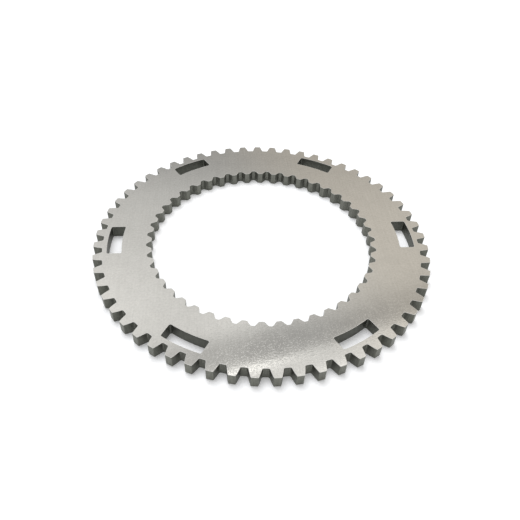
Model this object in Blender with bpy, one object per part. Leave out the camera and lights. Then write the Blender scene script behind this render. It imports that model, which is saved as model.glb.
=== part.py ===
"""Ring gear of an automatic transmission: a flat steel ring, lying on its back face.

The ring has involute gear teeth round its outside, an involute spline in its bore and
six curved windows through its rim. It is one piece, in metres, with +Z along its axis
and its origin at the middle of the face that it rests on.
"""

import math

import bmesh
import bpy
from mathutils import Matrix, Vector

# Spline in the bore. The diameter of its pitch circle sets the size of the whole ring. Widths of
# teeth and spaces are measured along the pitch circle, and turns from the middle of a window.
SPLINE_PITCH_DIAMETER = 0.138
SPLINE_TEETH = 46
SPLINE_PRESSURE_ANGLE = math.radians(36.0)
SPLINE_SPACE_WIDTH = 0.00445
SPLINE_ADDENDUM = 0.0014
SPLINE_DEDENDUM = 0.0017
SPLINE_FILLET = 0.0008
SPLINE_TURN = math.radians(0.3)

# Gear teeth round the outside.
GEAR_TEETH = 57
GEAR_PRESSURE_ANGLE = math.radians(17.5)
GEAR_TOOTH_WIDTH = 0.00565
GEAR_ADDENDUM = 0.00275
GEAR_DEDENDUM = 0.0028
GEAR_FILLET = 0.001
GEAR_TURN = math.radians(-0.9)

# Blank: the rim is measured from the bottom of the spline to the bottom of the gear teeth.
RIM_WIDTH = 0.02625
THICKNESS = 0.0079
EDGE_BREAK = 0.0003

# Windows through the rim. The web is the wall left between a window and the gear roots.
WINDOWS = 6
WINDOW_LENGTH = 0.0243
WINDOW_WIDTH = 0.0088
WINDOW_CORNER = 0.001
WEB = 0.00275

# Straight pieces that stand for each curve.
FLANK_PIECES = 2
GEAR_FILLET_PIECES = 2
SPLINE_FILLET_PIECES = 3
CORNER_PIECES = 3
WINDOW_SIDE_PIECES = 6

# Vertices this close are one, and folds flatter than this are shaded smooth.
WELD = 1e-6
SMOOTH_BELOW = math.radians(40.0)

STEEL_COLOUR = (0.52, 0.51, 0.48, 1.0)
STEEL_ROUGHNESS = 0.38

spline_pitch_radius = SPLINE_PITCH_DIAMETER / 2
spline_root_radius = spline_pitch_radius + SPLINE_DEDENDUM
gear_root_radius = spline_root_radius + RIM_WIDTH
gear_pitch_radius = gear_root_radius + GEAR_DEDENDUM
window_outer_radius = gear_root_radius - WEB
window_inner_radius = window_outer_radius - WINDOW_WIDTH


def polar(radius, angle):
    return Vector((radius * math.cos(angle), radius * math.sin(angle)))


def angle_of(point):
    return math.atan2(point.y, point.x)


def mirrored(points):
    """The points mirrored across the X axis, in reverse order."""
    return [Vector((point.x, -point.y)) for point in reversed(points)]


def turned(points, angle):
    turn = Matrix.Rotation(angle, 2)
    return [turn @ point for point in points]


def repeated(points, count, first_angle):
    """One closed outline from a repeat that spans an equal share of the circle."""
    copies = (turned(points, first_angle + math.tau * i / count) for i in range(count))
    return [point for copy in copies for point in copy]


def arc(centre, start, end, pieces):
    """Points from start to end, the short way round the centre."""
    first = start - centre
    sweep = math.remainder(angle_of(end - centre) - angle_of(first), math.tau)
    angles = (angle_of(first) + sweep * i / pieces for i in range(pieces + 1))
    return [centre + polar(first.length, angle) for angle in angles]


def involute_angle(base_radius, radius):
    """Angle that an involute has swept when it reaches the radius."""
    roll = math.sqrt(max((radius / base_radius) ** 2 - 1.0, 0.0))
    return roll - math.atan(roll)


def flank(pitch_radius, pressure_angle, width, tip_radius, root_radius, fillet, fillet_pieces):
    """One side of a form that narrows outwards, from its flank's tip end to its root's fillet.

    The form lies along the X axis and is `width` wide on the pitch circle. It is a tooth
    where the tip is outside the root, and otherwise the space between two internal teeth.
    The centre of a fillet lies on a parallel of the involute, which is an involute of the
    same base circle: the string that draws it is longer or shorter by the fillet's radius.
    """
    base_radius = pitch_radius * math.cos(pressure_angle)
    start_angle = width / 2 / pitch_radius + involute_angle(base_radius, pitch_radius)
    side = math.copysign(1.0, tip_radius - root_radius)

    centre_radius = root_radius + side * fillet
    centre_string = math.sqrt(max(centre_radius**2 - base_radius**2, 0.0))
    flank_string = centre_string - side * fillet
    roll = flank_string / base_radius
    centre = polar(centre_radius, start_angle - roll + math.atan(centre_string / base_radius))

    end_radius = math.hypot(base_radius, flank_string)
    radii = [tip_radius + (end_radius - tip_radius) * i / FLANK_PIECES for i in range(FLANK_PIECES + 1)]
    points = [polar(radius, start_angle - involute_angle(base_radius, radius)) for radius in radii]
    on_root = polar(root_radius, angle_of(centre))
    return points + arc(centre, points[-1], on_root, fillet_pieces)[1:]


def gear_outline():
    """Outside of the ring: each tooth with half of the space on either side."""
    side = flank(
        gear_pitch_radius,
        GEAR_PRESSURE_ANGLE,
        GEAR_TOOTH_WIDTH,
        gear_pitch_radius + GEAR_ADDENDUM,
        gear_root_radius,
        GEAR_FILLET,
        GEAR_FILLET_PIECES,
    )
    return repeated(mirrored(side) + side, GEAR_TEETH, GEAR_TURN)


def spline_outline():
    """Bore of the ring: each space with half of the tooth on either side."""
    side = flank(
        spline_pitch_radius,
        SPLINE_PRESSURE_ANGLE,
        SPLINE_SPACE_WIDTH,
        spline_pitch_radius - SPLINE_ADDENDUM,
        spline_root_radius,
        SPLINE_FILLET,
        SPLINE_FILLET_PIECES,
    )
    side.reverse()
    half_pitch = math.pi / SPLINE_TEETH
    return repeated(mirrored(side) + side, SPLINE_TEETH, SPLINE_TURN + half_pitch)


def window_half(radius, towards_rim):
    """Half of a window's long side and its corner, from the middle to the end wall.

    Both are above the X axis. The corner's arc touches the long side and the end wall.
    """
    centre_y = WINDOW_LENGTH / 2 - WINDOW_CORNER
    centre_radius = radius - towards_rim * WINDOW_CORNER
    centre = Vector((math.sqrt(centre_radius**2 - centre_y**2), centre_y))
    on_side = polar(radius, angle_of(centre))
    on_end = centre + Vector((0.0, WINDOW_CORNER))
    half_pieces = WINDOW_SIDE_PIECES // 2
    long_side = arc(Vector((0.0, 0.0)), polar(radius, 0.0), on_side, half_pieces)
    return long_side + arc(centre, on_side, on_end, CORNER_PIECES)[1:]


def window_outline():
    """A window on the X axis: arcs round the ring's axis, joined by parallel end walls."""
    outer = window_half(window_outer_radius, 1.0)
    inner = window_half(window_inner_radius, -1.0)
    inner.reverse()
    return mirrored(outer)[:-1] + outer + inner + mirrored(inner)[1:]


def extruded(name, outlines):
    """Mesh of the filled outlines, lying on Z = 0, with its edges broken all round."""
    curve = bpy.data.curves.new(name, "CURVE")
    curve.dimensions = "2D"
    curve.fill_mode = "BOTH"
    curve.extrude = THICKNESS / 2 - EDGE_BREAK
    curve.bevel_depth = EDGE_BREAK
    curve.bevel_resolution = 0
    curve.offset = -EDGE_BREAK
    for outline in outlines:
        path = curve.splines.new("POLY")
        path.use_cyclic_u = True
        path.points.add(len(outline) - 1)
        for knot, place in zip(path.points, outline):
            knot.co = (place.x, place.y, 0.0, 1.0)

    pattern = bpy.data.objects.new(name, curve)
    bpy.context.scene.collection.objects.link(pattern)
    bpy.context.view_layer.update()
    graph = bpy.context.evaluated_depsgraph_get()
    mesh = bpy.data.meshes.new_from_object(pattern.evaluated_get(graph))
    mesh.name = name
    bpy.data.objects.remove(pattern)
    bpy.data.curves.remove(curve)

    shape = bmesh.new()
    shape.from_mesh(mesh)
    bmesh.ops.translate(shape, verts=shape.verts, vec=(0.0, 0.0, THICKNESS / 2))
    bmesh.ops.remove_doubles(shape, verts=shape.verts, dist=WELD)
    bmesh.ops.recalc_face_normals(shape, faces=shape.faces)
    shape.to_mesh(mesh)
    shape.free()
    mesh.shade_smooth()
    mesh.set_sharp_from_angle(angle=SMOOTH_BELOW)
    return mesh


def ground_steel():
    material = bpy.data.materials.new("ground_steel")
    material.use_nodes = True
    shader = material.node_tree.nodes["Principled BSDF"]
    shader.inputs["Base Color"].default_value = STEEL_COLOUR
    shader.inputs["Metallic"].default_value = 1.0
    shader.inputs["Roughness"].default_value = STEEL_ROUGHNESS
    return material


def ring_gear():
    windows = [turned(window_outline(), math.tau * i / WINDOWS) for i in range(WINDOWS)]
    mesh = extruded("ring_gear", [gear_outline(), spline_outline(), *windows])
    mesh.materials.clear()
    mesh.materials.append(ground_steel())
    gear = bpy.data.objects.new("ring_gear", mesh)
    bpy.context.scene.collection.objects.link(gear)
    return gear


for leftover in list(bpy.data.objects):
    bpy.data.objects.remove(leftover)
ring_gear()
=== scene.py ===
"""Looks of an automatic transmission's ring gear: its finish, its light and its camera.

The solid ring of the frame is dressed by one finer mesh of the same ring, with true arcs,
rounded edges and a finish for each way in which its steel was cut. The gear teeth's flanks
are painted darker as shade between the teeth. Lengths are in metres.
"""

import cmath
import logging
import math
from collections.abc import Mapping, Sequence
from dataclasses import dataclass, field
from enum import Enum, IntEnum
from typing import Any

import bpy
import numpy as np
from mathutils import Matrix, Vector
from mathutils.geometry import delaunay_2d_cdt


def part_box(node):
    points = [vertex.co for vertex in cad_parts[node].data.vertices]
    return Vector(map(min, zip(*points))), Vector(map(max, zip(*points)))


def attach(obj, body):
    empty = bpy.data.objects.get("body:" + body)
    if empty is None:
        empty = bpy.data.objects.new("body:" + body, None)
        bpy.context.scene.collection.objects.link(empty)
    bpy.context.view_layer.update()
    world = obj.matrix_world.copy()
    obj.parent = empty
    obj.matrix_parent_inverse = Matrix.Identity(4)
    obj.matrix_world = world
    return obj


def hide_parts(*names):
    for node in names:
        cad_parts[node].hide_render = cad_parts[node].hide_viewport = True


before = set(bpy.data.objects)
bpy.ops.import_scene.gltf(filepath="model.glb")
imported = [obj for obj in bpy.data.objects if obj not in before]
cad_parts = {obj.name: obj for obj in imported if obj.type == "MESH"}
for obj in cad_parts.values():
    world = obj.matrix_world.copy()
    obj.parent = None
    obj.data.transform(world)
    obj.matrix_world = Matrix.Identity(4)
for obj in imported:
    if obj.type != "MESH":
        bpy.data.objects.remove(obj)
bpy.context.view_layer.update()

log = logging.getLogger("ring_gear")

NODE = "ring_gear"
BODY = "root"

Colour = tuple[float, float, float]


class Form(Enum):
    """What a form of a toothed edge is, with the way its outline moves when the steel is cut back."""

    TOOTH = -1.0
    SPACE = 1.0


class Side(Enum):
    """On which side of a flank an arc lies, with the sign of the string that reaches its centre."""

    INSIDE_FORM = -1.0
    OUTSIDE_FORM = 1.0


class Surface(IntEnum):
    """Surfaces of the ring, in the order of its material slots."""

    FACE = 0
    EDGE = 1
    GEAR = 2
    # Flanks of the gear teeth, whose material is painted darker as shade between the teeth.
    FLANK = 3
    SPLINE = 4
    WINDOW = 5


def unit(angle: float | np.ndarray) -> complex | np.ndarray:
    """Point of the unit circle in that direction."""
    return np.exp(1j * angle)


def arc(centre: complex, start: complex, end: complex, pieces: int) -> np.ndarray:
    """Splits an arc into straight pieces, the short way round its centre.

    Args:
        centre: Centre of the arc.
        start: Its first point.
        end: Its last point.
        pieces: Number of straight pieces.

    Returns:
        The points from start to end, both included.
    """
    first = start - centre
    sweep = cmath.phase((end - centre) / first)
    return centre + first * unit(sweep * np.linspace(0.0, 1.0, pieces + 1))


def joined(*runs: np.ndarray) -> np.ndarray:
    """Joins runs of points end to end.

    Args:
        *runs: Runs that each start where the one before ends.

    Returns:
        All the points, with those that two runs share kept once.
    """
    return np.concatenate([runs[0], *(run[1:] for run in runs[1:])])


def mirrored_round(half: np.ndarray) -> np.ndarray:
    """Adds the mirror image of half an outline, which lies below the X axis.

    Args:
        half: Points from one end of the outline's middle to the other.

    Returns:
        The mirror image first, then the half without its last point.
    """
    return np.concatenate([half[:0:-1].conj(), half[:-1]])


@dataclass(frozen=True)
class Blank:
    """Sizes of the ring in the frame.

    Attributes:
        thickness: Height of the ring from its back face to its front face.
        tip_radius: Radius of the outer teeth's tips.
        bore_radius: Radius of the spline teeth's tips.
    """

    thickness: float
    tip_radius: float
    bore_radius: float

    @classmethod
    def of_node(cls, node: str) -> "Blank":
        """Reads the sizes from a node of the frame.

        Args:
            node: Name of the node.

        Returns:
            The node's sizes.
        """
        low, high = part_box(node)
        radii = [math.hypot(vertex.co.x, vertex.co.y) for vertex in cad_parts[node].data.vertices]
        return cls(high.z - low.z, max(radii), min(radii))


@dataclass(frozen=True)
class Flank:
    """Involute side of a form that lies along the X axis and narrows outwards.

    The string that draws an involute leaves its base circle as a tangent. A longer or shorter
    string draws its parallel, so the centre of an arc that touches the flank lies on the same
    string as the point where it touches.

    Attributes:
        base_radius: Radius of the base circle.
        start_angle: Direction in which the involute would leave the base circle.
    """

    base_radius: float
    start_angle: float

    def on_string(self, roll: float | np.ndarray, string: float | np.ndarray) -> complex | np.ndarray:
        """Point at that length on the string, once it has rolled off by that angle."""
        return (self.base_radius + 1j * string) * unit(self.start_angle - roll)

    def points(self, first: complex, last: complex, pieces: int) -> np.ndarray:
        """Splits the flank into straight pieces.

        Args:
            first: Point of the flank that the run starts at.
            last: Point of the flank that it ends at.
            pieces: Number of straight pieces.

        Returns:
            The points from first to last, both included.
        """
        radii = np.linspace(abs(first), abs(last), pieces + 1)
        string = np.sqrt(radii**2 - self.base_radius**2)
        return self.on_string(string / self.base_radius, string)

    def touching(self, centre_radius: float, radius: float, side: Side) -> tuple[complex, complex]:
        """Finds the arc that touches the flank and has its centre on a given circle.

        Args:
            centre_radius: Radius of the circle that the centre lies on.
            radius: Radius of the arc.
            side: Side of the flank that the arc lies on.

        Returns:
            The arc's centre and the point where it touches the flank.
        """
        centre_string = math.sqrt(centre_radius**2 - self.base_radius**2)
        string = centre_string - side.value * radius
        roll = string / self.base_radius
        return self.on_string(roll, centre_string), self.on_string(roll, string)


@dataclass(frozen=True)
class ToothedEdge:
    """Round of involute teeth, drawn as copies of one form that narrows outwards.

    The form of outer teeth is a tooth, and that of a bore is the space between two teeth.

    Attributes:
        form: What the form is.
        count: Number of forms round the edge.
        turn: Direction of the first form.
        pitch_radius: Radius of the pitch circle.
        pressure_angle: Angle of the flanks at the pitch circle.
        width: Width of the form along the pitch circle.
        outer_radius: Radius of the form's narrow end.
        inner_radius: Radius at which the form is widest.
        outer_round: Radius of the arcs at the form's narrow end.
        inner_round: Radius of the arcs at its wide end.
        least_round: Radius that an arc keeps where the steel is cut back by more than it has.
    """

    form: Form
    count: int
    turn: float
    pitch_radius: float
    pressure_angle: float
    width: float
    outer_radius: float
    inner_radius: float
    outer_round: float
    inner_round: float
    least_round: float = 0.00001
    flank_pieces: int = 6
    round_pieces: int = 4
    land_pieces: int = 2

    def outline(self, inset: float) -> np.ndarray:
        """Draws the edge where the steel is cut back by an even margin.

        Args:
            inset: Width of the margin.

        Returns:
            Closed outline, anticlockwise, with the same number of points at every inset.
        """
        grow = self.form.value * inset
        base_radius = self.pitch_radius * math.cos(self.pressure_angle)
        involute = math.tan(self.pressure_angle) - self.pressure_angle
        half_width = self.width / 2 / self.pitch_radius
        flank = Flank(base_radius, half_width + involute + grow / base_radius)

        outer_radius = self.outer_radius + grow
        inner_radius = self.inner_radius + grow
        outer_round = max(self.outer_round + grow, self.least_round)
        inner_round = max(self.inner_round - grow, self.least_round)
        top, top_touch = flank.touching(outer_radius - outer_round, outer_round, Side.INSIDE_FORM)
        foot, foot_touch = flank.touching(inner_radius + inner_round, inner_round, Side.OUTSIDE_FORM)

        on_top = outer_radius * unit(cmath.phase(top))
        on_foot = inner_radius * unit(cmath.phase(foot))
        half_pitch = math.pi / self.count
        half = joined(
            arc(0.0, outer_radius, on_top, self.land_pieces),
            arc(top, on_top, top_touch, self.round_pieces),
            flank.points(top_touch, foot_touch, self.flank_pieces),
            arc(foot, foot_touch, on_foot, self.round_pieces),
            arc(0.0, on_foot, inner_radius * unit(half_pitch), self.land_pieces),
        )
        form = mirrored_round(half)
        turns = self.turn + 2 * half_pitch * np.arange(self.count)
        return (unit(turns)[:, None] * form).ravel()


@dataclass(frozen=True)
class Window:
    """Opening with long sides round the ring's axis and parallel end walls.

    Attributes:
        outer_radius: Radius of the long side next to the gear teeth.
        inner_radius: Radius of the other long side.
        length: Distance between the end walls.
        corner: Radius of the corners.
    """

    outer_radius: float
    inner_radius: float
    length: float
    corner: float
    side_pieces: int = 10
    corner_pieces: int = 5

    def half_side(self, radius: float, outwards: float, inset: float) -> np.ndarray:
        """Draws half of a long side and its corner, above the X axis.

        Args:
            radius: Radius of the long side.
            outwards: 1 where the window lies inside that radius, otherwise -1.
            inset: Width of the margin cut back all round the window.

        Returns:
            Points from the middle of the long side to the end wall.
        """
        corner = self.corner + inset
        side_radius = radius + outwards * inset
        centre_y = self.length / 2 - self.corner
        centre = complex(math.sqrt((radius - outwards * self.corner) ** 2 - centre_y**2), centre_y)
        on_side = side_radius * unit(cmath.phase(centre))
        return joined(
            arc(0.0, side_radius, on_side, self.side_pieces),
            arc(centre, on_side, centre + 1j * corner, self.corner_pieces),
        )

    def outline(self, inset: float) -> np.ndarray:
        """Draws the window on the X axis.

        Args:
            inset: Width of the margin cut back all round it.

        Returns:
            Closed outline, anticlockwise, with the same number of points at every inset.
        """
        outer = self.half_side(self.outer_radius, 1.0, inset)
        inner = self.half_side(self.inner_radius, -1.0, inset)
        return mirrored_round(np.concatenate([outer, inner[::-1]]))


class Nodes:
    """Node tree of one material or of the world."""

    def __init__(self, owner: bpy.types.Material | bpy.types.World) -> None:
        """Starts with an empty tree.

        Args:
            owner: Material or world that the tree belongs to.
        """
        owner.use_nodes = True
        self.tree = owner.node_tree
        self.tree.nodes.clear()

    def add(
        self,
        kind: str,
        settings: Mapping[str, Any] | None = None,
        inputs: Mapping[str, Any] | None = None,
        output: str | None = None,
    ) -> "Signal":
        """Adds one node.

        Args:
            kind: Type of the node, without the ShaderNode that it starts with.
            settings: Properties of the node, which are set before its sockets.
            inputs: Value or signal of each input socket, by its identifier.
            output: Name of the wanted output, or None for the first one in use.

        Returns:
            The wanted output. A node without outputs gives a signal that holds none.
        """
        node = self.tree.nodes.new("ShaderNode" + kind)
        for name, setting in (settings or {}).items():
            setattr(node, name, setting)
        sockets = {socket.identifier: socket for socket in node.inputs}
        for name, value in (inputs or {}).items():
            if isinstance(value, Signal):
                self.tree.links.new(value.socket, sockets[name])
            else:
                sockets[name].default_value = value
        outputs = [socket for socket in node.outputs if socket.enabled and output in (None, socket.name)]
        return Signal(self, next(iter(outputs), None))

    def noise(self, where: "Signal", size: float, detail: float = 2.0) -> "Signal":
        """Adds a noise that is 0.5 on average.

        Args:
            where: Coordinates in metres.
            size: Width of its largest blots.
            detail: Number of finer octaves.

        Returns:
            The noise's value.
        """
        inputs = {"Vector": where, "Scale": 1.0 / size, "Detail": detail}
        return self.add("TexNoise", inputs=inputs)

    def stretched(self, where: "Signal", factors: Sequence[float]) -> "Signal":
        """Coordinates multiplied axis by axis."""
        return self.add("VectorMath", {"operation": "MULTIPLY"}, {"Vector": where, "Vector_001": factors})

    def parts(self, vector: "Signal") -> list["Signal"]:
        """X, Y and Z of a vector."""
        first = self.add("SeparateXYZ", inputs={"Vector": vector})
        return [Signal(self, socket) for socket in first.socket.node.outputs]

    def ramp(self, value: "Signal", low: float, high: float) -> "Signal":
        """Smooth step from 0 at the low value to 1 at the high one."""
        settings = {"interpolation_type": "SMOOTHSTEP"}
        return self.add("MapRange", settings, {"Value": value, "From Min": low, "From Max": high})

    def shades(self, factor: "Signal", first: Colour, second: Colour) -> "Signal":
        """Colour between two colours."""
        settings = {"data_type": "RGBA"}
        inputs = {"Factor_Float": factor, "A_Color": (*first, 1.0), "B_Color": (*second, 1.0)}
        return self.add("Mix", settings, inputs)


@dataclass(frozen=True)
class Signal:
    """Output of a node, which sums and products turn into further nodes.

    Attributes:
        nodes: Tree that the output belongs to.
        socket: The output itself.
    """

    nodes: Nodes
    socket: bpy.types.NodeSocket | None

    def maths(self, operation: str, first: "Number", second: "Number" = 0.0) -> "Signal":
        """Adds a Math node.

        Args:
            operation: The node's operation.
            first: Its first value.
            second: Its second value.

        Returns:
            The node's result.
        """
        return self.nodes.add("Math", {"operation": operation}, {"Value": first, "Value_001": second})

    def __add__(self, other: "Number") -> "Signal":
        """Sum."""
        return self.maths("ADD", self, other)

    def __radd__(self, other: "Number") -> "Signal":
        """Sum with a plain number first."""
        return self.maths("ADD", other, self)

    def __sub__(self, other: "Number") -> "Signal":
        """Difference."""
        return self.maths("SUBTRACT", self, other)

    def __rsub__(self, other: "Number") -> "Signal":
        """Difference with a plain number first."""
        return self.maths("SUBTRACT", other, self)

    def __mul__(self, other: "Number") -> "Signal":
        """Product."""
        return self.maths("MULTIPLY", self, other)

    def __rmul__(self, other: "Number") -> "Signal":
        """Product with a plain number first."""
        return self.maths("MULTIPLY", other, self)

    def __truediv__(self, other: "Number") -> "Signal":
        """Quotient."""
        return self.maths("DIVIDE", self, other)

    def __rtruediv__(self, other: "Number") -> "Signal":
        """Quotient with a plain number first."""
        return self.maths("DIVIDE", other, self)

    def at_least(self, floor: "Number") -> "Signal":
        """The larger of the two."""
        return self.maths("MAXIMUM", self, floor)

    def exp(self) -> "Signal":
        """Exponential."""
        return self.maths("EXPONENT", self)

    def root(self) -> "Signal":
        """Square root."""
        return self.maths("SQRT", self)


Number = Signal | float


@dataclass(frozen=True)
class Steel:
    """Bare steel with the finish that one way of cutting leaves.

    Attributes:
        name: Name of the material.
        colour: Colour of its reflections.
        roughness: Average roughness.
        grain: Width of its finest grain.
        grain_depth: Depth of that grain.
        mottling: Share by which its tone varies.
    """

    name: str
    colour: Colour
    roughness: float
    grain: float
    grain_depth: float
    mottling: float

    def material(self) -> bpy.types.Material:
        """Builds the material."""
        material = bpy.data.materials.new(self.name)
        nodes = Nodes(material)
        where = nodes.add("TexCoord", output="Object")
        shader = nodes.add("BsdfPrincipled", inputs={"Metallic": 1.0, **self.surface(nodes, where)})
        nodes.add("OutputMaterial", inputs={"Surface": shader})
        return material

    def toned(self, nodes: Nodes, tone: Signal) -> Signal:
        """Steel's colour, darker or lighter as the tone is under or over 1."""
        return nodes.shades(tone / 2, (0.0, 0.0, 0.0), tuple(2 * share for share in self.colour))

    def bump(self, nodes: Nodes, height: Signal) -> Signal:
        """Normal of a relief of the grain's depth."""
        return nodes.add("Bump", inputs={"Distance": self.grain_depth, "Height": height})

    def surface(self, nodes: Nodes, where: Signal) -> dict[str, Any]:
        """Varies the surface from place to place.

        Args:
            nodes: The material's tree.
            where: Coordinates on the ring.

        Returns:
            Values of the shader's sockets, by identifier.
        """
        grain = nodes.noise(where, self.grain)
        tone = 1.0 + self.mottling * (grain - 0.5)
        return {
            "Base Color": self.toned(nodes, tone),
            "Roughness": self.roughness,
            "Normal": self.bump(nodes, grain),
        }


@dataclass(frozen=True)
class GroundSteel(Steel):
    """Flat faces, ground in straight strokes along Y and then dulled.

    Attributes:
        blot: Width of the soft blots of the dulled surface.
        stroke: Width of a grinding stroke.
        stroke_stretch: Share of a stroke's length that is its width.
        pit: Distance between the shallow pits that make the surface sparkle.
        pit_height: Height of their rims against the grain's.
    """

    blot: float = 0.006
    stroke: float = 0.0009
    stroke_stretch: float = 0.03
    pit: float = 0.0009
    pit_height: float = 0.55

    def surface(self, nodes: Nodes, where: Signal) -> dict[str, Any]:
        """Varies the surface from place to place.

        Args:
            nodes: The material's tree.
            where: Coordinates on the ring.

        Returns:
            Values of the shader's sockets, by identifier.
        """
        grain = nodes.noise(where, self.grain, detail=3.0)
        blots = nodes.noise(where, self.blot, detail=4.0)
        strokes = nodes.noise(nodes.stretched(where, (1.0, self.stroke_stretch, 1.0)), self.stroke)
        pits = nodes.ramp(nodes.noise(where, self.pit, detail=1.0), 0.54, 0.7)
        tone = 1.0 + self.mottling * (0.5 * grain + 0.25 * blots + 0.25 * strokes - 0.5)
        return {
            "Base Color": self.toned(nodes, tone),
            "Roughness": self.roughness + 0.03 * (blots - 0.5),
            "Normal": self.bump(nodes, 0.8 * grain + 0.2 * strokes + self.pit_height * pits),
        }


@dataclass(frozen=True)
class CutSteel(Steel):
    """Walls cut straight through the ring, with the marks of the cut across its thickness.

    Attributes:
        mark: Width of a mark.
        mark_stretch: Share of a mark's length that is its width.
    """

    mark: float = 0.0006
    mark_stretch: float = 0.06

    def surface(self, nodes: Nodes, where: Signal) -> dict[str, Any]:
        """Varies the surface from place to place.

        Args:
            nodes: The material's tree.
            where: Coordinates on the ring.

        Returns:
            Values of the shader's sockets, by identifier.
        """
        grain = nodes.noise(where, self.grain, detail=3.0)
        marks = nodes.noise(nodes.stretched(where, (1.0, 1.0, self.mark_stretch)), self.mark)
        tone = 1.0 + self.mottling * (0.5 * grain + 0.5 * marks - 0.5)
        return {
            "Base Color": self.toned(nodes, tone),
            "Roughness": self.roughness,
            "Normal": self.bump(nodes, 0.4 * grain + 0.6 * marks),
        }


@dataclass
class RingGear:
    """The ring, with its sizes and its finishes.

    Attributes:
        blank: Sizes read from the frame.
        addendum: Height of the gear teeth above their pitch circle.
        dedendum: Depth of their spaces below it.
        spline_addendum: Height of the spline teeth inside their pitch circle.
        spline_dedendum: Depth of their spaces outside it.
        web: Wall left between a window and the gear teeth's spaces.
        front_edge: Width and height of the front face's broken edges, which grinding left low.
        back_edge: The same for the back face at the gear teeth's tips, which blanking has drawn in.
        least_draw: Share of that width in the roots, the bore and the windows.
        flat_margin: Height of the strip next to a rounded edge that keeps the wall's shading flat.
    """

    blank: Blank
    addendum: float = 0.00275
    dedendum: float = 0.0028
    spline_addendum: float = 0.0014
    spline_dedendum: float = 0.0017
    web: float = 0.00275
    window_width: float = 0.0088
    window_length: float = 0.0243
    window_corner: float = 0.001
    windows: int = 6
    front_edge: tuple[float, float] = (0.00015, 0.00005)
    back_edge: tuple[float, float] = (0.0006, 0.0008)
    least_draw: float = 0.15
    edge_pieces: int = 4
    flat_margin: float = 0.00005

    def gear(self) -> ToothedEdge:
        """Teeth round the outside."""
        pitch_radius = self.blank.tip_radius - self.addendum
        return ToothedEdge(
            form=Form.TOOTH,
            count=57,
            turn=math.radians(-0.9),
            pitch_radius=pitch_radius,
            pressure_angle=math.radians(17.5),
            width=0.00565,
            outer_radius=self.blank.tip_radius,
            inner_radius=pitch_radius - self.dedendum,
            outer_round=0.0003,
            inner_round=0.001,
        )

    def spline(self) -> ToothedEdge:
        """Teeth of the bore."""
        pitch_radius = self.blank.bore_radius + self.spline_addendum
        count = 46
        return ToothedEdge(
            form=Form.SPACE,
            count=count,
            turn=math.radians(0.3) + math.pi / count,
            pitch_radius=pitch_radius,
            pressure_angle=math.radians(36.0),
            width=0.00445,
            outer_radius=pitch_radius + self.spline_dedendum,
            inner_radius=self.blank.bore_radius,
            outer_round=0.0008,
            inner_round=0.0004,
        )

    def window(self) -> Window:
        """Window on the X axis."""
        outer_radius = self.blank.tip_radius - self.addendum - self.dedendum - self.web
        inner_radius = outer_radius - self.window_width
        return Window(outer_radius, inner_radius, self.window_length, self.window_corner)

    def outlines(self, inset: float) -> list[tuple[Surface, np.ndarray]]:
        """Draws the ring where its steel is cut back by an even margin.

        Args:
            inset: Width of the margin.

        Returns:
            The surface behind each outline, and the outline with the steel on its left:
            the outside first, then the bore and the windows.
        """
        window = self.window().outline(inset)
        turns = math.tau / self.windows * np.arange(self.windows)
        holes = [(Surface.SPLINE, self.spline().outline(inset))]
        holes += [(Surface.WINDOW, window * unit(turn)) for turn in turns]
        return [(Surface.GEAR, self.gear().outline(inset)), *((kind, hole[::-1]) for kind, hole in holes)]

    def drawn_in(self, inset: float) -> list[tuple[Surface, np.ndarray]]:
        """Draws the ring near its back face, where blanking has drawn its edges in.

        Args:
            inset: Width of the margin at the gear teeth's tips, which are drawn in most.

        Returns:
            The outlines in their usual order.
        """
        tip_radius = self.blank.tip_radius
        root_radius = tip_radius - self.addendum - self.dedendum
        drawn = []
        for (kind, whole), (_, cut) in zip(self.outlines(0.0), self.outlines(inset)):
            share = self.least_draw
            if kind is Surface.GEAR:
                share = np.interp(abs(whole), [root_radius, tip_radius], [self.least_draw, 1.0])
            drawn.append((kind, whole + share * (cut - whole)))
        return drawn

    def levels(self) -> list[tuple[list[np.ndarray], float]]:
        """Lists the levels that the ring is built from.

        Returns:
            Outlines and height of each level, from the back face up to the front face.
        """
        lower = [(self.drawn_in(inset), height) for inset, height in self.edge_levels(self.back_edge)]
        upper = [
            (self.outlines(inset), self.blank.thickness - height)
            for inset, height in self.edge_levels(self.front_edge)
        ]
        return [([loop for _, loop in loops], height) for loops, height in lower + upper[::-1]]

    def edge_levels(self, edge: tuple[float, float]) -> list[tuple[float, float]]:
        """Lists the loops of points round one face's edge.

        Args:
            edge: Width of the rounding across the face, and its height up the wall.

        Returns:
            Inset of each loop and its distance from the face, from the face up the wall.
        """
        width, height = edge
        angles = np.linspace(math.pi / 2, 0.0, self.edge_pieces + 1)
        rounded = [(width * (1.0 - math.cos(a)), height * (1.0 - math.sin(a))) for a in angles]
        return [*rounded, (0.0, height + self.flat_margin)]

    def wall_kinds(self, kind: Surface, loop: np.ndarray) -> np.ndarray:
        """Names the surface above each piece of an outline.

        Args:
            kind: Surface that the outline belongs to.
            loop: The outline.

        Returns:
            Its surfaces, with the flanks of the gear teeth set apart from their tips and roots, so that
            they carry painted shade between the teeth.
        """
        kinds = np.full(len(loop), kind)
        if kind is Surface.GEAR:
            pieces = (np.roll(loop, -1) - loop) / unit(np.angle(loop))
            kinds[abs(pieces.real) > abs(pieces.imag)] = Surface.FLANK
        return kinds

    def face_triangles(self, loops: list[np.ndarray]) -> list[Sequence[int]]:
        """Fills a face between its outlines.

        Args:
            loops: The outlines, the outside first.

        Returns:
            Triangles by the numbers of their points, anticlockwise.
        """
        starts = np.cumsum([0, *map(len, loops)])
        numbers = [list(range(start, start + len(loop))) for start, loop in zip(starts, loops)]
        places = [Vector((point.real, point.imag)) for point in np.concatenate(loops)]
        rings = [numbers[0], *(hole[::-1] for hole in numbers[1:])]
        inside_all = 0
        filled = delaunay_2d_cdt(places, [], rings, inside_all, 1e-8)
        triangles, within = filled[2], filled[5]
        return [triangle for triangle, rings_round in zip(triangles, within) if rings_round == [0]]

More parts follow.
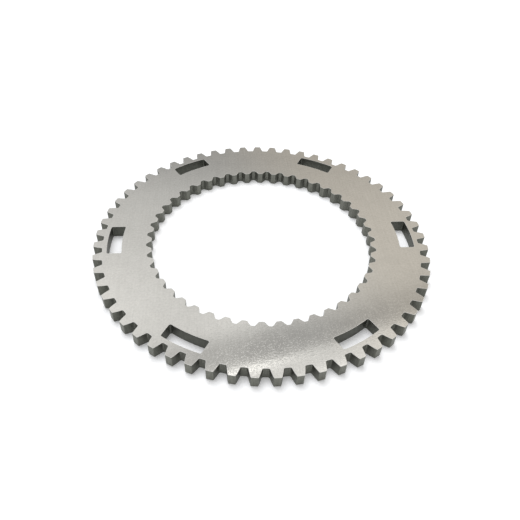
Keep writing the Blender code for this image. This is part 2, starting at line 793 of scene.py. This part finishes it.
    def mesh(self) -> bpy.types.Mesh:
        """Builds the ring's mesh, with a material number on every polygon."""
        levels = self.levels()
        kinds = np.concatenate([self.wall_kinds(kind, loop) for kind, loop in self.outlines(0.0)])
        following = []
        for loop in levels[0][0]:
            start = len(following)
            following += [start + (i + 1) % len(loop) for i in range(len(loop))]

        vertices = []
        for loops, height in levels:
            vertices += [(point.real, point.imag, height) for point in np.concatenate(loops)]

        count = len(kinds)
        faces, surfaces = [], []
        for band in range(len(levels) - 1):
            low, high = band * count, (band + 1) * count
            faces += [(low + i, low + j, high + j, high + i) for i, j in enumerate(following)]
            on_front_edge = band >= len(levels) - 1 - self.edge_pieces
            surfaces += [Surface.EDGE] * count if on_front_edge else kinds.tolist()
        walls = len(faces)
        top = count * (len(levels) - 1)
        faces += [tuple(top + i for i in triangle) for triangle in self.face_triangles(levels[-1][0])]
        faces += [tuple(reversed(triangle)) for triangle in self.face_triangles(levels[0][0])]
        surfaces += [Surface.FACE] * (len(faces) - walls)

        mesh = bpy.data.meshes.new("ring_gear_body")
        mesh.from_pydata(vertices, [], faces)
        mesh.polygons.foreach_set("material_index", surfaces)
        mesh.polygons.foreach_set("use_smooth", [i < walls for i in range(len(faces))])
        mesh.update()
        return mesh

    def finishes(self) -> dict[Surface, Steel]:
        """Finish of each surface, with painted shade between the gear teeth on the flanks."""
        ground = GroundSteel("ground_face", (0.619, 0.607, 0.571), 0.06, 0.0013, 0.0000075, 0.5)
        edge = Steel("broken_edge", (0.74, 0.73, 0.71), 0.25, 0.0004, 0.000004, 0.1)
        gear = CutSteel("gear_teeth", (0.163, 0.166, 0.144), 0.5, 0.0008, 0.00002, 1.2)
        # Flanks are cut like the tips and roots; their darker colour is painted shade between the teeth.
        flank = CutSteel("gear_flanks_painted_shade", (0.131, 0.134, 0.115), 0.5, 0.0008, 0.00002, 1.2)
        spline = CutSteel("spline_teeth", (0.157, 0.16, 0.14), 0.5, 0.0008, 0.00002, 1.0)
        window = CutSteel("window_walls", (0.124, 0.128, 0.111), 0.5, 0.0008, 0.00002, 0.8)
        return {
            Surface.FACE: ground,
            Surface.EDGE: edge,
            Surface.GEAR: gear,
            Surface.FLANK: flank,
            Surface.SPLINE: spline,
            Surface.WINDOW: window,
        }

    def build(self) -> bpy.types.Object:
        """Makes the ring and puts it in the place of the frame's node.

        Returns:
            The finished ring.
        """
        mesh = self.mesh()
        finishes = self.finishes()
        for surface in Surface:
            mesh.materials.append(finishes[surface].material())
        ring = bpy.data.objects.new("ring_gear_body", mesh)
        bpy.context.scene.collection.objects.link(ring)
        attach(ring, BODY)
        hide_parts(NODE)
        log.info("ring gear: %d polygons, %.1f mm across", len(mesh.polygons), 1000 * ring.dimensions.x)
        return ring


@dataclass(frozen=True)
class PhotoCamera:
    """Camera at the photograph's viewpoint.

    Attributes:
        place: Where it stands, measured from the middle of the front face.
        tilt: Angle by which it looks down.
        turn: Direction in which it looks, anticlockwise from +Y.
        roll: Its turn about its own line of sight.
        focal_length: Of a lens on a sensor 36 mm wide, in millimetres.
        shift: Share of the picture's width that the frame is moved by, across and up.
    """

    place: tuple[float, float, float] = (-0.02514, -0.24355, 0.21758)
    tilt: float = math.radians(44.25)
    turn: float = math.radians(-3.36)
    roll: float = math.radians(1.09)
    focal_length: float = 36.4
    shift: tuple[float, float] = (0.0325, 0.0005)

    def build(self, face_height: float) -> bpy.types.Object:
        """Makes the camera and sets it as the scene's.

        Args:
            face_height: Height of the ring's front face.

        Returns:
            The camera.
        """
        data = bpy.data.cameras.new("photo_camera")
        data.lens = self.focal_length
        data.shift_x, data.shift_y = self.shift
        data.clip_start = 0.01
        camera = bpy.data.objects.new("photo_camera", data)
        bpy.context.scene.collection.objects.link(camera)
        camera.matrix_world = (
            Matrix.Translation(Vector(self.place) + Vector((0.0, 0.0, face_height)))
            @ Matrix.Rotation(self.turn, 4, "Z")
            @ Matrix.Rotation(math.pi / 2 - self.tilt, 4, "X")
            @ Matrix.Rotation(self.roll, 4, "Z")
        )
        bpy.context.scene.camera = camera
        return camera


@dataclass(frozen=True)
class CeilingPatch:
    """Soft light or dark patch of the studio's ceiling.

    The ring's face mirrors the ceiling, so a patch is placed by the point of the face in
    which the photograph's viewpoint sees it.

    Attributes:
        x: Place of its middle across the face.
        y: Place of its middle along the face.
        length: Half its length, at which it has faded by two thirds.
        width: Half its width.
        turn: Direction of its length.
        gain: Light that it adds, or takes away if under 0.
    """

    x: float
    y: float
    length: float
    width: float
    turn: float
    gain: float

    def light(self, across: Signal, along: Signal) -> Signal:
        """Adds the patch's light.

        Args:
            across: Point of the face that mirrors a direction, along X.
            along: The same along Y.

        Returns:
            The light added in that direction.
        """
        cosine, sine = math.cos(self.turn), math.sin(self.turn)
        right, up = across - self.x, along - self.y
        u = (right * cosine + up * sine) / self.length
        v = (up * cosine - right * sine) / self.width
        return self.gain * (0.0 - (u * u + v * v)).exp()


@dataclass(frozen=True)
class CeilingPanel:
    """Straight edge of a light panel that hangs under the tent's ceiling.

    Attributes:
        x: A point of the edge across the face, placed as a patch is.
        y: The same along the face.
        turn: Direction of the edge.
        soft: Half the width over which the edge fades.
        light: Light of the panel.
    """

    x: float = 0.0103
    y: float = -0.0901
    turn: float = math.radians(18.6)
    soft: float = 0.001
    light: float = 1.007

    def cover(self, nodes: Nodes, across: Signal, along: Signal) -> Signal:
        """Tells where the panel hides the ceiling.

        Args:
            nodes: The world's tree.
            across: Point of the face that mirrors a direction, along X.
            along: The same along Y.

        Returns:
            1 where the panel is, 0 where it isn't.
        """
        behind = (self.y - along) * math.cos(self.turn) - (self.x - across) * math.sin(self.turn)
        return nodes.ramp(behind, -self.soft, self.soft)


@dataclass
class Studio:
    """Pale floor under a softly graded white tent, with a lamp overhead.

    Attributes:
        camera: Camera whose viewpoint places what the ceiling holds.
        wall_light: Light of the tent's walls, which stand behind the floor as a white backdrop.
        brightness: Light of its ceiling.
        slant: How much darker the ceiling is on the right than in the middle.
        warm_turn: Direction in which the tent's light turns warmer, placed as its patches are.
        floor_size: Width of the floor.
        floor_gap: How far the floor lies below the ring.
        floor_colour: Colour of the floor.
        floor_glow: Light of its own with which the floor shows as a white backdrop.
        lamp_energy: Strength of the lamp, which lights the floor and isn't mirrored.
        lamp_tilt: How far from straight overhead the lamp hangs, behind the ring.
        lamp_turn: How far to the left it hangs.
        lamp_width: Angle that the lamp fills.
        lamp_share: Share of the tent's light on matt things that the lamp stands in for.        patches: Light and dark patches of the tent's ceiling.
        panel: Light panel under it.
        streaks: Bright streaks along the panel's edge.
    """

    camera: PhotoCamera
    wall_light: float = 1.0
    brightness: float = 0.815
    slant: float = 0.135
    warm_turn: float = math.radians(20.0)
    floor_size: float = 12.0
    floor_gap: float = 0.00005
    floor_colour: Colour = (0.95, 0.96, 0.98)
    floor_glow: float = 0.17
    lamp_energy: float = 1.7
    lamp_tilt: float = math.radians(22.0)
    lamp_turn: float = math.radians(20.0)
    lamp_width: float = math.radians(40.0)
    lamp_share: float = 0.4
    patches: list[CeilingPatch] = field(
        default_factory=lambda: [
            CeilingPatch(-0.155, -0.072, 0.102, 0.047, math.radians(10.0), 0.44),
            CeilingPatch(-0.15, 0.124, 0.23, 0.052, math.radians(-11.0), -0.44),
            CeilingPatch(-0.0255, -0.083, 0.04, 0.0095, math.radians(13.0), -0.32),
            CeilingPatch(0.0465, -0.069, 0.093, 0.011, math.radians(21.5), -0.24),
            CeilingPatch(-0.0205, -0.0725, 0.0235, 0.014, math.radians(27.0), 0.23),
        ]
    )
    panel: CeilingPanel = CeilingPanel()
    streaks: list[CeilingPatch] = field(
        default_factory=lambda: [
            CeilingPatch(-0.02, -0.099, 0.018, 0.0016, math.radians(13.5), 1.8),
            CeilingPatch(0.002, -0.0928, 0.018, 0.0016, math.radians(16.5), 0.65),
            CeilingPatch(0.03, -0.1005, 0.021, 0.0038, math.radians(16.5), 0.65),
        ]
    )

    def build(self) -> None:
        """Makes the floor, the lamp and the tent."""
        self.build_floor()
        self.build_lamp()
        self.build_tent()

    def build_floor(self) -> bpy.types.Object:
        """Makes the floor.

        Returns:
            The floor.
        """
        half = self.floor_size / 2
        mesh = bpy.data.meshes.new("floor")
        corners = [(-half, -half, 0.0), (half, -half, 0.0), (half, half, 0.0), (-half, half, 0.0)]
        mesh.from_pydata(corners, [], [(0, 1, 2, 3)])
        material = bpy.data.materials.new("floor")
        nodes = Nodes(material)
        seen = nodes.add("LightPath", output="Is Camera Ray")
        for ray in ("Is Glossy Ray", "Is Transmission Ray"):
            seen = seen.at_least(nodes.add("LightPath", output=ray))
        matt = nodes.add("BsdfDiffuse", inputs={"Color": (*self.floor_colour, 1.0)})
        white = nodes.add("Emission", inputs={"Strength": self.floor_glow * seen})
        shader = nodes.add("AddShader", inputs={"Shader": matt, "Shader_001": white})
        nodes.add("OutputMaterial", inputs={"Surface": shader})
        mesh.materials.append(material)
        floor = bpy.data.objects.new("floor", mesh)
        floor.location.z = -self.floor_gap
        bpy.context.scene.collection.objects.link(floor)
        return floor

    def build_lamp(self) -> bpy.types.Object:
        """Makes the lamp overhead, whose wide light keeps the floor's shadows short.

        Returns:
            The lamp.
        """
        light = bpy.data.lights.new("overhead_lamp", "SUN")
        light.energy = self.lamp_energy
        light.angle = self.lamp_width
        lamp = bpy.data.objects.new("overhead_lamp", light)
        lamp.rotation_euler = (-self.lamp_tilt, 0.0, self.lamp_turn)
        lamp.visible_glossy = False
        bpy.context.scene.collection.objects.link(lamp)
        return lamp

    def build_tent(self) -> None:
        """Makes the world that lights the ring: a ceiling with its patches, over white walls."""
        world = bpy.data.worlds.new("studio_tent")
        bpy.context.scene.world = world
        nodes = Nodes(world)
        direction = nodes.add("TexCoord", output="Generated")
        x, y, z = nodes.parts(direction)
        steep = z.at_least(0.1)
        eye_x, eye_y, eye_z = self.camera.place
        across = eye_x + eye_z * (x / steep)
        along = eye_y + eye_z * (y / steep)
        ceiling = nodes.ramp(z, 0.28, 0.48)
        light = self.brightness - self.slant * x
        for patch in self.patches:
            light = light + patch.light(across, along)
        light = light + self.panel.cover(nodes, across, along) * (self.panel.light - light)
        for streak in self.streaks:
            light = light + streak.light(across, along)
        light = self.wall_light + ceiling * (light - self.wall_light)
        light = light * (1.0 - self.lamp_share * nodes.add("LightPath", output="Is Diffuse Ray"))
        warm_side = across * math.cos(self.warm_turn) + along * math.sin(self.warm_turn)
        warmth = ceiling * nodes.ramp(warm_side, -0.015, 0.07)
        colour = nodes.shades(warmth, (1.0, 1.0, 1.0), (1.055, 1.0, 0.925))
        background = nodes.add("Background", inputs={"Color": colour, "Strength": light})
        nodes.add("OutputWorld", inputs={"Surface": background})


def main() -> None:
    """Builds the ring, its camera and its studio."""
    logging.basicConfig(level=logging.INFO, format="%(name)s: %(message)s")
    bpy.context.scene.view_settings.view_transform = "Standard"
    blank = Blank.of_node(NODE)
    RingGear(blank).build()
    camera = PhotoCamera()
    camera.build(blank.thickness)
    Studio(camera).build()
    log.info("camera and studio are ready")


if __name__ == "__main__":
    main()
